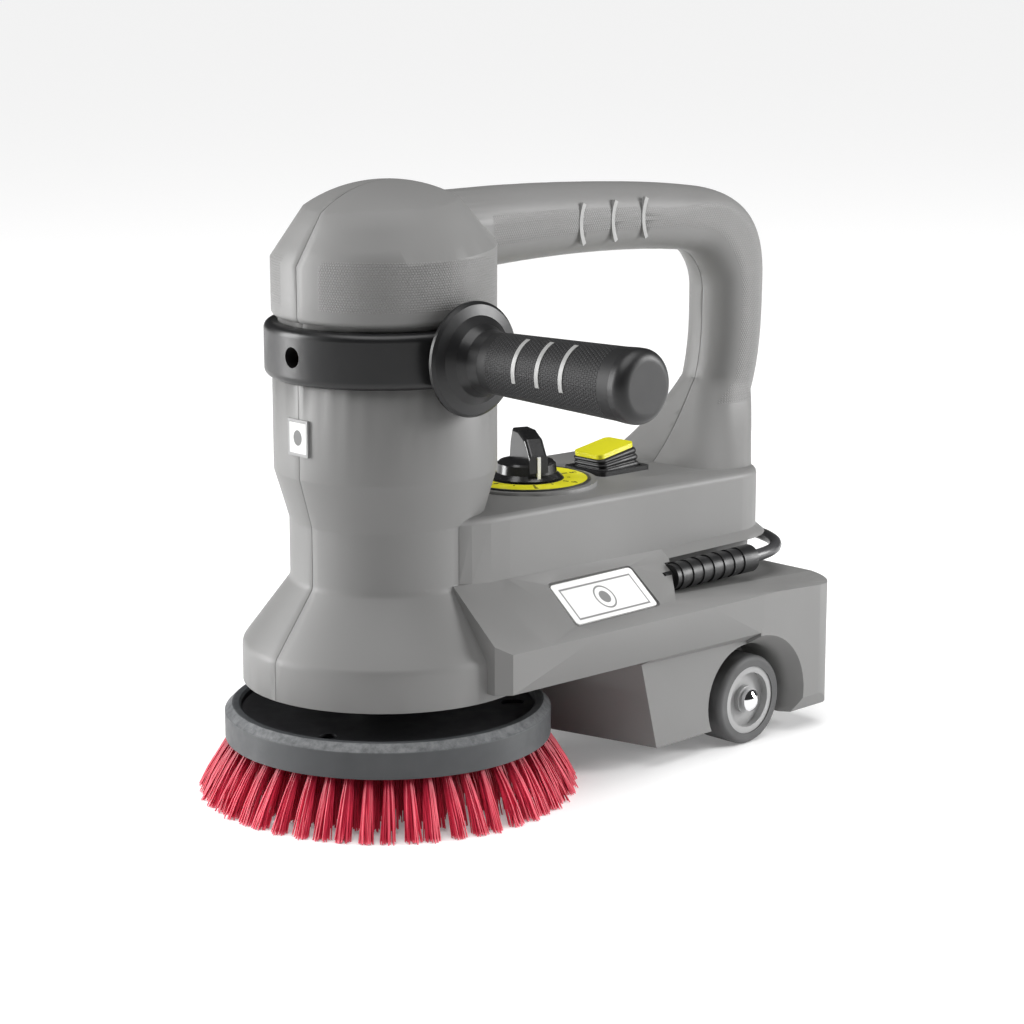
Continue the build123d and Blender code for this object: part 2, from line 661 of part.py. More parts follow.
def rim(side):
    """Wheel centre: outer ring, dished web and hub."""
    y1, y0 = WHEEL_FACE_Y - 0.6, WHEEL_FACE_Y - WHEEL_W
    body = rod_y(16.2, y0, y1, WHEEL_X, WHEEL_R)
    body -= rod_y(13.2, y1 - 3.5, y1 + 1, WHEEL_X, WHEEL_R)
    body -= rod_y(13.2, y0 - 1, y0 + 6, WHEEL_X, WHEEL_R) - rod_y(7, y0 - 2, y0 + 7, WHEEL_X, WHEEL_R)
    body += rod_y(6.6, y1 - 4, y1 - 1.2, WHEEL_X, WHEEL_R)
    body -= rod_y(AXLE_R + SHAFT_GAP, y0 - 5, y1 + 5, WHEEL_X, WHEEL_R)
    return body if side > 0 else mirrored(body)


def axle():
    return rod_y(AXLE_R, -(WHEEL_FACE_Y - 0.6), WHEEL_FACE_Y - 0.6, WHEEL_X, WHEEL_R)


def axle_cap(side):
    """Domed cap on the axle's end."""
    y = WHEEL_FACE_Y - 0.6
    sleeve = rod_y(5.2, y - 0.5, y + 1.6, WHEEL_X, WHEEL_R) - rod_y(AXLE_R, y - 3, y, WHEEL_X, WHEEL_R)
    dome = Pos(WHEEL_X, y - 3.6, WHEEL_R) * Sphere(7.4)
    dome = dome & rod_y(5.2, y + 1.6, y + 9, WHEEL_X, WHEEL_R)
    cap_piece = sleeve + dome
    return cap_piece if side > 0 else mirrored(cap_piece)


BASE_SCREWS = [(128, 40), (128, -40), (199, 40), (199, -40)]


def base_cover():
    cover = block((122.2, 204.8), (-45.8, 45.8), (BOX_Z0, BOX_Z0 + WALL))
    for place in BASE_SCREWS:
        cover -= rod(1.8, 0, BOX_Z0 + 7, place)
    return cover


def body_screws():
    """Screws across the parting plane, and the four under the base cover."""
    screws = [base_screw(p) for p in BASE_SCREWS]
    for x, z in screw_places():
        screw = rod_y(3.6, 6, 8.6, x, z) + rod_y(1.65, -12, 6.1, x, z)
        screws.append(screw - block((x - 0.5, x + 0.5), (7.6, 9), (z - 2.4, z + 2.4)))
    return Compound(children=screws)


def base_screw(place):
    return rod(1.75, BOX_Z0 - 1, BOX_Z0 + 9, place) + rod(3.4, BOX_Z0 - 1.6, BOX_Z0, place)


# ---- controls ----
def scale_disc():
    """Round scale plate on the boss under the knob."""
    return ring(30.0, 7.0, 128.6, 129.3, (KNOB_X, 0))


def speed_knob():
    """Round skirt with an upright grip fin that leans over its pointer."""
    skirt = turned([(0, 129.8), (KNOB_R - 0.3, 129.8), (KNOB_R, 130.4), (KNOB_R - 2.6, 132.4),
                    (KNOB_R - 3.1, 136.6), (KNOB_R - 4.2, 137.5), (0, 137.5)])
    side = make_face(Polyline((-11.5, 0, 134), (15.2, 0, 134), (14.6, 0, 142), (9, 0, 149),
                              (1, 0, 152), (-7, 0, 152), (-9.5, 0, 146), close=True))
    fin = extrude(side, 4.6, both=True)
    fin = fillet(fin.edges().filter_by(lambda e: abs(abs(e.center().Y) - 4.6) < 0.01
                                       and e.center().Z > 138), 1.6)
    knob = skirt + fin
    knob -= rod(2.95, 125, 144)
    knob -= pointer_bar(0.0)
    return Pos(KNOB_X, 0, 0) * Rot(0, 0, POINTER_TURN) * knob


POINTER_TURN = -112.0   # rest direction of the pointer, from +X


def pointer_bar(gap):
    return block((14.0 + gap, 15.6), (-0.8 + gap, 0.8 - gap), (130.2, 141.5))


def knob_pointer():
    return Pos(KNOB_X, 0, 0) * Rot(0, 0, POINTER_TURN) * pointer_bar(0.02)


def potentiometer():
    at = (KNOB_X, 0)
    return rod(9, 106, 116, at) + rod(3.5, 116, 124, at) - rod(2.95 + SHAFT_GAP, 108, 125, at)


def knob_shaft():
    return rod(2.95, 108.2, 144, (KNOB_X, 0))


def switch_frame():
    """Bezel of the switch, lying on the sloping deck."""
    frame = block((-16.5, 16.5), (-13.2, 13.2), (0.02, 2.2))
    frame = fillet(frame.edges().filter_by(Axis.Z), 2.5)
    frame -= block((-13.4, 13.4), (-10.4, 10.4), (-1, 4))
    fall = degrees(atan(5.0 / (REAR_X + 20)))
    return Pos(SWITCH_X, 0, deck_top_z(SWITCH_X)) * Rot(0, fall, 0) * frame


def switch_body():
    body = block((SWITCH_X - 13, SWITCH_X + 13), (-10, 10), (102, 124.5))
    body -= block((SWITCH_X - 10.8, SWITCH_X + 10.8), (-8, 8), (115, 126))
    return body - rod_y(PIN_R, -11, 11, SWITCH_X, ROCKER_PIVOT_Z)


def on_rocker(solid):
    return Pos(SWITCH_X, 0, ROCKER_PIVOT_Z) * Rot(0, -ROCKER_REST, 0) * solid


def rocker_cap():
    cap_piece = block((-12, 12), (-9.3, 9.3), (13.2, 15.4))
    cap_piece = fillet(cap_piece.edges().filter_by(Axis.Z), 3)
    stem = block((-7.6, 7.6), (-6, 6), (-2.5, 13.3)) - rod_y(PIN_R + SHAFT_GAP, -10, 10, 0, 0)
    return on_rocker(cap_piece + stem)


def rocker_pin():
    return rod_y(PIN_R, -9.9, 9.9, SWITCH_X, ROCKER_PIVOT_Z)


def switch_bellows():
    """Three rubber pleats between the frame and the rocker."""
    pleats = []
    for z, half_x, half_y, tilt in ((7.3, 13.2, 10.5, 1.8), (9.5, 12.9, 10.2, 4.6), (11.8, 12.5, 9.8, 8.0)):
        pleat = Pos(0, 0, z) * Box(2 * half_x, 2 * half_y, 1.8)
        pleat = fillet(pleat.edges().filter_by(Axis.Z), 3)
        pleat -= Pos(0, 0, z) * Box(2 * half_x - 8.2, 2 * half_y - 7.2, 6)
        pleats.append(Pos(SWITCH_X, 0, ROCKER_PIVOT_Z) * Rot(0, -tilt, 0) * pleat)
    return Compound(children=pleats)


def control_board():
    return block((64, 112), (-22, 22), (96, 97.6))


def board_parts():
    parts = [block((68, 84), (-16, -4), (97.7, 105)), rod(5, 97.7, 112, (104, 14)),
             rod(4, 97.7, 104, (72, 12)), block((92, 108), (-16, -10), (97.7, 114))]
    return Compound(children=parts)


def head_label():
    """Small square plate on the front of the barrel, across the parting line."""
    plate = block((-BARREL_R - 0.7, -BARREL_R + 4), (-6.5, 6.5), (158, 174)) - rod(BARREL_R + 0.02, 150, 180)
    return plate


# ---- cord ----
def strain_relief():
    """Ribbed boot that guides the cord out of the niche's end wall."""
    x0, x1 = BOOT_X
    boot = rod(3.2, -5, 1) + rod(6.0, 0, x1 - x0)
    for n in range(7):
        low = 3 + n * 7.2
        boot += rod(BOOT_R, low, low + (4.6 if n < 6 else x1 - x0 - low))
    boot -= rod(CORD_D / 2, x1 - x0 - 20, 80)
    return Pos(x0, BOOT_Y, BOOT_Z) * Rot(0, 90, 0) * boot


# Route of the free cord from the boot round the upper block, down behind the chassis and into the coil.
LEAD_ROUTE = [
    (180.0, -57.0, 85.2), (193.0, -57.4, 85.7), (206.0, -52.5, 86.3), (215.5, -41.5, 86.6),
    (221.5, -26.0, 86.5), (226.5, -9.0, 86.2), (231.5, 9.0, 84.0), (236.0, 26.0, 77.5),
    (239.5, 42.0, 64.5), (241.5, 56.0, 47.0), (242.3, 69.0, 28.0), (242.5, 83.0, 12.5),
    (242.4, 99.0, 4.6), (242.0, 118.0, 3.3), (241.7, 138.0, 3.2), (241.5, 158.0, 3.2),
]
TAIL_ROUTE = [
    (175.0, 197.5, 28.2), (160.0, 198.0, 31.5), (143.5, 194.0, 34.6), (129.0, 183.5, 35.6),
    (121.5, 167.0, 36.2), (123.5, 148.5, 37.5), (134.5, 133.5, 40.5), (151.5, 126.0, PLUG_Z),
    (169.0, 125.5, PLUG_Z),
]


def corner_radii(route):
    """The largest tangent arc at each corner: 0.45 of the shorter run over the tangent of half the turn."""
    radii = []
    for a, b, c in zip(route, route[1:], route[2:]):
        before, after = Vector(*b) - Vector(*a), Vector(*c) - Vector(*b)
        half_turn = radians(before.get_angle(after)) / 2
        radii.append(0.45 * min(before.length, after.length) / tan(half_turn))
    return radii


def cord_tube(route, label):
    radii = corner_radii(route)
    path = FilletPolyline(*route, radius=radii)
    start = Plane(origin=route[0], z_dir=Vector(*route[1]) - Vector(*route[0]))
    tube = sweep(start * Circle(CORD_D / 2), path=path)
    section = pi * (CORD_D / 2) ** 2
    print(label, "length", round(path.length, 1), "volume ratio", round(tube.volume / (section * path.length), 4),
          "radii", [round(r, 1) for r in radii])
    return tube, path.length


def cord_coil():
    """The wound cord, as one closed ring with rounded edges."""
    half = COIL_TURNS[0] * COIL_PITCH / 2
    height = COIL_TURNS[1] * COIL_PITCH
    coil = ring(COIL_MEAN_R + half, COIL_MEAN_R - half, 0.2, 0.2 + height, COIL_AT)
    return fillet(coil.edges().filter_by(GeomType.CIRCLE), 2.8)


def plug():
    """Moulded mains plug with two pins, lying flat on the coil."""
    body = rod(13.0, 0, 30) + rod(18.2, 30, 38)
    body += Pos(0, 0, -14) * Cone(4.2, 9, 14, align=(Align.CENTER, Align.CENTER, Align.MIN))
    body = body & block((-PLUG_HALF_H, PLUG_HALF_H), (-30, 30), (-20, 40))
    for y in (-9.5, 9.5):
        body += rod(2.4, 38, 57, (0, y))
    (x0, y0, _), (x1, y1, _) = TAIL_ROUTE[-2:]
    heading = degrees(atan2(y1 - y0, x1 - x0))
    return Pos(x1, y1, PLUG_Z) * Rot(0, 0, heading) * Rot(0, 90, 0) * Pos(0, 0, 14) * body


# ---- write one file for each piece ----
def build():
    left_shell, right_shell = body_shells()
    lead, lead_length = cord_tube(LEAD_ROUTE, "lead")
    tail, tail_length = cord_tube(TAIL_ROUTE, "tail")
    turns = (CORD_LENGTH - lead_length - tail_length) / (2 * pi * COIL_MEAN_R)
    print("coil turns for the rest of the cord:", round(turns, 2))
    pieces = {
        "left_shell": left_shell,
        "right_shell": right_shell,
        "base_cover": base_cover(),
        "body_screws": body_screws(),
        "collar_ring": collar_ring(),
        "collar_inserts": collar_inserts(),
        "side_handle_core": side_handle_core(),
        "side_handle_grip": side_grip(),
        "side_grip_inlays": side_grip_inlays(),
        "side_handle_end": side_handle_end(),
        "side_handle_stud": side_handle_stud(),
        "loop_inlays": loop_inlays(),
        "nameplate": nameplate(),
        "head_label": head_label(),
        "brush_block": brush_block(),
        "brush_top_plate": brush_top_plate(),
        "brush_socket": brush_socket(),
        "bristles_outer": bristle_ring(BRUSH_R, 66, 70.5, 62),
        "bristles_inner": bristle_ring(64, 24, 60, 24, foot=1.0),
        "spindle": spindle(),
        "spindle_bearings": bearing(13.0, 5.0, 43.4, 49.4) + bearing(13.0, 5.0, 50, 56),
        "drive_gear": drive_gear(),
        "layshaft": layshaft(),
        "layshaft_gear": layshaft_gear(),
        "layshaft_pinion": layshaft_pinion(),
        "gear_case": gear_case(),
        "gear_plate": gear_plate(),
        "motor_pinion": motor_pinion(),
        "motor_shaft": motor_shaft(),
        "motor_bearings": bearing(8.0, 4.0, 80, 86) + bearing(8.0, 4.0, 176, 182),
        "stator": stator(),
        "field_coils": field_coils(),
        "armature": armature(),
        "commutator": commutator(),
        "fan": fan(),
        "carbon_brushes": carbon_brushes(),
        "brush_holders": brush_holders(),
        "motor_bracket": motor_bracket(),
        "tyre_left": tyre(-1),
        "tyre_right": tyre(1),
        "rim_left": rim(-1),
        "rim_right": rim(1),
        "axle": axle(),
        "axle_caps": axle_cap(-1) + axle_cap(1),
        "scale_disc": scale_disc(),
        "speed_knob": speed_knob(),
        "knob_pointer": knob_pointer(),
        "knob_shaft": knob_shaft(),
        "potentiometer": potentiometer(),
        "switch_frame": switch_frame(),
        "switch_body": switch_body(),
        "switch_bellows": switch_bellows(),
        "rocker_cap": rocker_cap(),
        "rocker_pin": rocker_pin(),
        "control_board": control_board() + board_parts(),
        "strain_relief": strain_relief(),
        "power_cord": lead,
        "power_cord_tail": tail,
        "cord_coil": cord_coil(),
        "plug": plug(),
    }
    os.makedirs("parts", exist_ok=True)
    for name, piece in pieces.items():
        export_step(piece, f"parts/{name}.step")
    print(len(pieces), "nodes")


build()
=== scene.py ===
import math
import random

import bpy
from mathutils import Matrix, Vector


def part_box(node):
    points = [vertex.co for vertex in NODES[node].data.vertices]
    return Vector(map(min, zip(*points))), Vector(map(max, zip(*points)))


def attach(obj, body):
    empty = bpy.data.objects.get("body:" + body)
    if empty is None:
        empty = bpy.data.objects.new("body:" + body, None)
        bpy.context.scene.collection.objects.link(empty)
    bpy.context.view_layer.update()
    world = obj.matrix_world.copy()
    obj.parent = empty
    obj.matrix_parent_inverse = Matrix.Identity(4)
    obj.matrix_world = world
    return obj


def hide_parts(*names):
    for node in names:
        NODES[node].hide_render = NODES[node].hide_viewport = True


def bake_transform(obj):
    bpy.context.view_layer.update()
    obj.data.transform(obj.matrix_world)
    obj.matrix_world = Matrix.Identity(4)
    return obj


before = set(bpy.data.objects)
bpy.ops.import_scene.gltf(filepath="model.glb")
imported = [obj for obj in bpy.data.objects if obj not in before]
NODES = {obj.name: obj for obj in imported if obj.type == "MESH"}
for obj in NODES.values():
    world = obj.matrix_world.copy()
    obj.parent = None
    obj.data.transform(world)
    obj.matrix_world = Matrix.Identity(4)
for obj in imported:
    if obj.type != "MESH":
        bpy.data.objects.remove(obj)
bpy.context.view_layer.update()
MM = 0.001

# Places that follow the CAD pieces, in metres.
SOCKET_Z = 0.201
KNOB_X, ROCKER_X, ROCKER_PIVOT_Z = 0.087, 0.141, 0.122
MOULDED_DOT_PITCH, GRIP_DOT_PITCH = 0.00125, 0.0016
SHELL_EDGE_R = 0.0007
SCALE_START_DEG, SCALE_STEP_DEG = -232, 27
ROCKER_REST = math.radians(9)
COIL_X, COIL_Y = 0.175, 0.162


# ---------------------------------------------------------------- camera, light and floor
def add_camera():
    """Long lens, a little above the deck, from the front left."""
    azimuth, elevation = -44.09, 12.30
    distance = 1.1932
    aim_right, aim_up = 0.05579, 0.12597
    a, e = math.radians(azimuth), math.radians(elevation)
    look = Vector((-math.sin(a) * math.cos(e), math.cos(a) * math.cos(e), -math.sin(e)))
    right = Vector((math.cos(a), math.sin(a), 0))
    camera = bpy.data.cameras.new("camera")
    camera.sensor_width = 36.0
    camera.lens = 94.5
    camera.clip_start = 0.05
    camera.clip_end = 50.0
    holder = bpy.data.objects.new("camera", camera)
    holder.location = right * aim_right + Vector((0, 0, aim_up)) - look * distance
    holder.rotation_euler = (math.radians(90 - elevation), 0, a)
    bpy.context.scene.collection.objects.link(holder)
    bpy.context.scene.camera = holder


def add_area_light(name, place, aim, size, power, colour=(1, 1, 1)):
    light = bpy.data.lights.new(name, "AREA")
    light.shape = "RECTANGLE"
    light.size, light.size_y = size
    light.energy = power
    light.color = colour
    holder = bpy.data.objects.new(name, light)
    holder.location = place
    direction = Vector(aim) - Vector(place)
    holder.rotation_euler = direction.to_track_quat("-Z", "Y").to_euler()
    bpy.context.scene.collection.objects.link(holder)


def add_lights():
    middle = (0.06, 0, 0.13)
    add_area_light("left_box", (-1.00, 1.25, 0.50), middle, (0.6, 1.1), 38)
    add_area_light("right_box", (1.45, -1.25, 0.65), middle, (0.6, 0.9), 37)
    sky = bpy.data.lights.new("overhead", "SUN")
    sky.energy = 3.1
    sky.angle = math.radians(60)
    holder = bpy.data.objects.new("overhead", sky)
    holder.rotation_euler = (math.radians(6), math.radians(-8), 0)
    bpy.context.scene.collection.objects.link(holder)
    world = bpy.data.worlds.new("studio")
    bpy.context.scene.world = world
    world.use_nodes = True
    tree = world.node_tree
    background = tree.nodes["Background"]
    background.inputs["Color"].default_value = (1, 1, 1, 1)
    background.inputs["Strength"].default_value = 0.03
    backdrop = tree.nodes.new("ShaderNodeBackground")
    backdrop.inputs["Color"].default_value = (1, 1, 1, 1)
    seen = tree.nodes.new("ShaderNodeLightPath")
    either = tree.nodes.new("ShaderNodeMixShader")
    tree.links.new(seen.outputs["Is Camera Ray"], either.inputs[0])
    tree.links.new(background.outputs[0], either.inputs[1])
    tree.links.new(backdrop.outputs[0], either.inputs[2])
    tree.links.new(either.outputs[0], tree.nodes["World Output"].inputs["Surface"])
    bpy.context.scene.view_settings.view_transform = "Standard"


def add_floor():
    bpy.ops.mesh.primitive_plane_add(size=30, location=(0, 0, 0))
    floor = bpy.context.object
    floor.name = "floor"
    look = Look("floor_white", (0.85, 0.85, 0.85), 0.55, Emission_Color=(1, 1, 1, 1), Emission_Strength=0.17)
    floor.data.materials.append(look.material)


# ---------------------------------------------------------------- node helper
class Look:
    """One Principled material, with the few procedural building blocks that the pieces need."""

    def __init__(self, name, colour, roughness, metallic=0.0, **constants):
        self.material = bpy.data.materials.new(name)
        self.material.use_nodes = True
        self.tree = self.material.node_tree
        self.shader = self.tree.nodes["Principled BSDF"]
        self.set("Base Color", (*colour, 1))
        self.set("Roughness", roughness)
        self.set("Metallic", metallic)
        for socket, value in constants.items():
            self.set(socket.replace("_", " "), value)
        self.place = self.node("ShaderNodeTexCoord").outputs["Object"]
        self.height = None

    def set(self, socket, value):
        self.shader.inputs[socket].default_value = value

    def node(self, kind, **settings):
        made = self.tree.nodes.new(kind)
        for key, value in settings.items():
            setattr(made, key, value)
        return made

    def feed(self, value, socket):
        if hasattr(value, "is_output"):
            self.tree.links.new(value, socket)
        else:
            socket.default_value = value

    def math(self, operation, *values, clamp=False):
        made = self.node("ShaderNodeMath", operation=operation, use_clamp=clamp)
        for value, socket in zip(values, made.inputs):
            self.feed(value, socket)
        return made.outputs[0]

    def vector(self, operation, *values):
        made = self.node("ShaderNodeVectorMath", operation=operation)
        for value, socket in zip(values, made.inputs):
            self.feed(value, socket)
        return made.outputs["Value" if operation in ("LENGTH", "DISTANCE", "DOT_PRODUCT") else "Vector"]

    def split(self, vector=None):
        made = self.node("ShaderNodeSeparateXYZ")
        self.feed(vector or self.place, made.inputs[0])
        return made.outputs

    def join(self, x, y, z):
        made = self.node("ShaderNodeCombineXYZ")
        for value, socket in zip((x, y, z), made.inputs):
            self.feed(value, socket)
        return made.outputs[0]

    def noise(self, scale, detail=2.0, vector=None, rough=0.5):
        made = self.node("ShaderNodeTexNoise")
        self.feed(vector or self.place, made.inputs["Vector"])
        made.inputs["Scale"].default_value = scale
        made.inputs["Detail"].default_value = detail
        made.inputs["Roughness"].default_value = rough
        return made.outputs["Fac"]

    def between(self, value, low, high, soft):
        """1 where value lies from low to high, with soft edges."""
        rise = self.ramp(value, low - soft, low + soft)
        fall = self.ramp(value, high + soft, high - soft)
        return self.math("MULTIPLY", rise, fall)

    def ramp(self, value, start, end, low=0.0, high=1.0):
        made = self.node("ShaderNodeMapRange")
        self.feed(value, made.inputs["Value"])
        for key, number in (("From Min", start), ("From Max", end), ("To Min", low), ("To Max", high)):
            made.inputs[key].default_value = number
        return made.outputs["Result"]

    def mix(self, factor, first, second):
        made = self.node("ShaderNodeMix", data_type="RGBA")
        self.feed(factor, made.inputs["Factor"])
        for value, socket in ((first, made.inputs["A"]), (second, made.inputs["B"])):
            self.feed((*value, 1) if isinstance(value, tuple) else value, socket)
        return made.outputs["Result"]

    def colour(self, value):
        self.tree.links.new(value, self.shader.inputs["Base Color"])

    def mottle(self, colour, scale, share, detail=3.0):
        """Base colour that varies gently by share about colour."""
        dark = tuple(c * (1 - share) for c in colour)
        light = tuple(min(1.0, c * (1 + share)) for c in colour)
        result = self.mix(self.ramp(self.noise(scale, detail), 0.3, 0.7), dark, light)
        self.colour(result)
        return result

    def vary_roughness(self, scale, low, high):
        rough = self.ramp(self.noise(scale, 3.0), 0.3, 0.7, low, high)
        self.tree.links.new(rough, self.shader.inputs["Roughness"])

    def bump(self, height, strength, distance):
        made = self.node("ShaderNodeBump")
        made.inputs["Strength"].default_value = strength
        made.inputs["Distance"].default_value = distance
        self.tree.links.new(height, made.inputs["Height"])
        if self.height is not None:
            self.tree.links.new(self.height, made.inputs["Normal"])
        self.height = made.outputs["Normal"]
        self.tree.links.new(self.height, self.shader.inputs["Normal"])

    def hex_dots(self, u, v, pitch):
        """1 in the middle of each dot of a staggered grid, 0 between them."""
        tall = pitch * math.sqrt(3)
        at = self.join(self.math("DIVIDE", u, pitch), self.math("DIVIDE", v, tall), 0.0)
        nearest = []
        for shift in ((0, 0, 0), (0.5, 0.5, 0)):
            cell = self.vector("FRACTION", self.vector("ADD", at, shift))
            off = self.vector("MULTIPLY", self.vector("SUBTRACT", cell, (0.5, 0.5, 0)), (1, math.sqrt(3), 0))
            nearest.append(self.vector("LENGTH", off))
        return self.ramp(self.math("MINIMUM", *nearest), 0.42, 0.22)


def dress(look, *nodes):
    """Give one look to CAD nodes or to pieces made here."""
    for node in nodes:
        target = NODES[node] if isinstance(node, str) else node
        target.data.materials.clear()
        target.data.materials.append(look.material)


# ---------------------------------------------------------------- looks
def grain(look, scale=1900, strength=0.12, depth=0.00006):
    look.bump(look.noise(scale, 2.0), strength, depth)
    return look


def body_plastic():
    """Matte grey moulding; the cap's sides and the loop's flanks carry a field of fine dots, the field painted
    darker as shade among the dots and the dots painted lighter as highlights.
    """
    grey = (0.172, 0.171, 0.168)
    look = Look("body_plastic", grey, 0.5, Specular_IOR_Level=0.42)
    x, y, z = look.split()
    across = look.math("ABSOLUTE", y)
    turn = look.math("MULTIPLY", look.math("ARCTAN2", y, x), 0.0495)
    cap_z = look.between(z, 0.2215, 0.2425, 0.0003)
    cap_seam = look.ramp(across, 0.0122, 0.0128)
    on_cap = look.math("MULTIPLY", look.math("MULTIPLY", cap_z, cap_seam), look.ramp(x, 0.0302, 0.0298))
    on_loop = look.math("MULTIPLY", look.ramp(across, 0.0162, 0.0166), look.ramp(x, 0.0500, 0.0504))
    on_loop = look.math("MULTIPLY", on_loop, look.ramp(z, 0.1515, 0.1525))
    cap_dots = look.math("MULTIPLY", look.hex_dots(turn, z, MOULDED_DOT_PITCH), on_cap)
    loop_dots = look.math("MULTIPLY", look.hex_dots(x, z, MOULDED_DOT_PITCH), on_loop)
    dots = look.math("MAXIMUM", cap_dots, loop_dots)
    field = look.math("MAXIMUM", on_cap, on_loop)
    base = look.mix(look.ramp(look.noise(9, 3.0), 0.3, 0.7), (0.164, 0.163, 0.160), (0.182, 0.181, 0.178))
    # painted shade: the dotted field is painted darker, as the shade among its dots
    base = look.mix(look.math("MULTIPLY", field, 0.35), base, (0.142, 0.141, 0.139))
    scuffs = look.ramp(look.noise(140, 5.0, rough=0.7), 0.66, 0.8)
    base = look.mix(look.math("MULTIPLY", scuffs, 0.10), base, (0.27, 0.27, 0.265))
    # painted highlight: each moulded dot is painted lighter, as light catching its top
    look.colour(look.mix(look.math("MULTIPLY", dots, 0.28), base, (0.27, 0.268, 0.262)))
    look.vary_roughness(14, 0.46, 0.56)
    look.bump(look.noise(1500, 3.0), 0.16, 0.00008)
    look.bump(look.noise(30, 2.0), 0.05, 0.0006)
    look.bump(dots, 0.7, 0.00022)
    return look


def grip_rubber():
    """Black rubber with a staggered field of raised dots round the handle's own axis; the dots are painted
    lighter as highlights.
    """
    look = Look("grip_rubber", (0.010, 0.010, 0.0105), 0.55, Specular_IOR_Level=0.3)
    x, y, z = look.split()
    turn = look.math("ARCTAN2", look.math("SUBTRACT", z, SOCKET_Z), x)
    dots = look.hex_dots(look.math("MULTIPLY", turn, 0.0143), y, GRIP_DOT_PITCH)
    field = look.between(y, -0.1435, -0.0770, 0.0002)
    dots = look.math("MULTIPLY", dots, field)
    # painted highlight: the raised dots are painted a lighter black, as the glint on their tops
    look.colour(look.mix(dots, (0.008, 0.008, 0.0085), (0.020, 0.020, 0.021)))
    look.bump(dots, 0.9, 0.0004)
    return grain(look, 2200, 0.1)


def plain_look(name, colour, roughness, scale=30, share=0.08, metallic=0.0, **constants):
    look = Look(name, colour, roughness, metallic, **constants)
    look.mottle(colour, scale, share)
    look.vary_roughness(scale * 3, roughness * 0.88, min(1.0, roughness * 1.12))
    return grain(look)


def wheel_rubber():
    look = Look("tyre_grey", (0.07, 0.07, 0.071), 0.62)
    look.mottle((0.07, 0.07, 0.071), 60, 0.14)
    dust = look.ramp(look.noise(380, 5.0, rough=0.7), 0.55, 0.8)
    look.vary_roughness(90, 0.55, 0.72)
    look.bump(dust, 0.12, 0.0001)
    return grain(look, 2400, 0.15)


def slate_plastic():
    """Brush block: slate grey, with a painted highlight in patches along its chamfered rim."""
    look = Look("slate_plastic", (0.040, 0.043, 0.046), 0.5)
    x, y, z = look.split()
    radius = look.vector("LENGTH", look.join(x, y, 0.0))
    rim = look.math("MULTIPLY", look.ramp(radius, 0.0690, 0.0702), look.ramp(z, 0.0366, 0.0376))
    # painted highlight: the chamfered rim is painted lighter in noisy patches, as light catching the edge
    painted_rim_highlight = look.math("MULTIPLY", rim, look.ramp(look.noise(260, 5.0, rough=0.7), 0.30, 0.62))
    base = look.mix(look.ramp(look.noise(40, 3.0), 0.3, 0.7), (0.036, 0.039, 0.042), (0.048, 0.051, 0.054))
    look.colour(look.mix(look.math("MULTIPLY", painted_rim_highlight, 0.6), base, (0.18, 0.185, 0.19)))
    look.vary_roughness(120, 0.42, 0.60)
    look.bump(look.noise(420, 4.0), 0.2, 0.0001)
    return grain(look)


def bristle_look():
    """Crimson nylon: each filament a little different, with painted shade darkening it towards the roots and a
    painted highlight paling the tips.
    """
    look = Look("bristle_red", (0.45, 0.01, 0.04), 0.5, Specular_IOR_Level=0.35)
    x, y, z = look.split()
    turn = look.math("MULTIPLY", look.math("ARCTAN2", y, x), 260.0)
    strand = look.noise(1.0, 2.0, look.join(turn, look.math("MULTIPLY", z, 30.0), 0.0))
    red = look.mix(look.ramp(strand, 0.34, 0.68), (0.38, 0.006, 0.026), (0.82, 0.055, 0.110))
    # painted shade: filaments darken towards their roots, up under the brush block
    red = look.mix(look.ramp(z, 0.014, 0.027), red, (0.22, 0.003, 0.016))
    # painted highlight: the last two millimetres of the tips are painted pale pink
    look.colour(look.mix(look.ramp(z, 0.0020, 0.0), red, (0.85, 0.16, 0.22)))
    return look


def cord_look():
    """Smooth dark grey sheath with a faint lengthwise drawing."""
    look = Look("cord_sheath", (0.045, 0.045, 0.047), 0.3, Specular_IOR_Level=0.6)
    look.mottle((0.045, 0.045, 0.047), 45, 0.12)
    look.vary_roughness(80, 0.26, 0.38)
    return grain(look, 900, 0.06)


def metal(name, colour, roughness, scale=500):
    look = Look(name, colour, roughness, 1.0)
    look.mottle(colour, 60, 0.05)
    x, y, z = look.split()
    radius = look.vector("LENGTH", look.join(x, y, 0.0))
    look.bump(look.noise(scale, 2.0, look.join(radius, 0.0, look.math("MULTIPLY", z, 0.2))), 0.08, 0.0001)
    look.vary_roughness(70, roughness * 0.8, roughness * 1.2)
    return look


def board_look():
    look = Look("board_green", (0.02, 0.10, 0.04), 0.4)
    x, y, z = look.split()
    tracks = look.ramp(look.noise(160, 1.0, look.join(x, y, 0.0)), 0.48, 0.52)
    on_board = look.ramp(z, 0.0978, 0.0976)
    greens = look.mix(tracks, (0.02, 0.10, 0.04), (0.03, 0.17, 0.06))
    look.colour(look.mix(on_board, (0.03, 0.03, 0.032), greens))
    return grain(look)


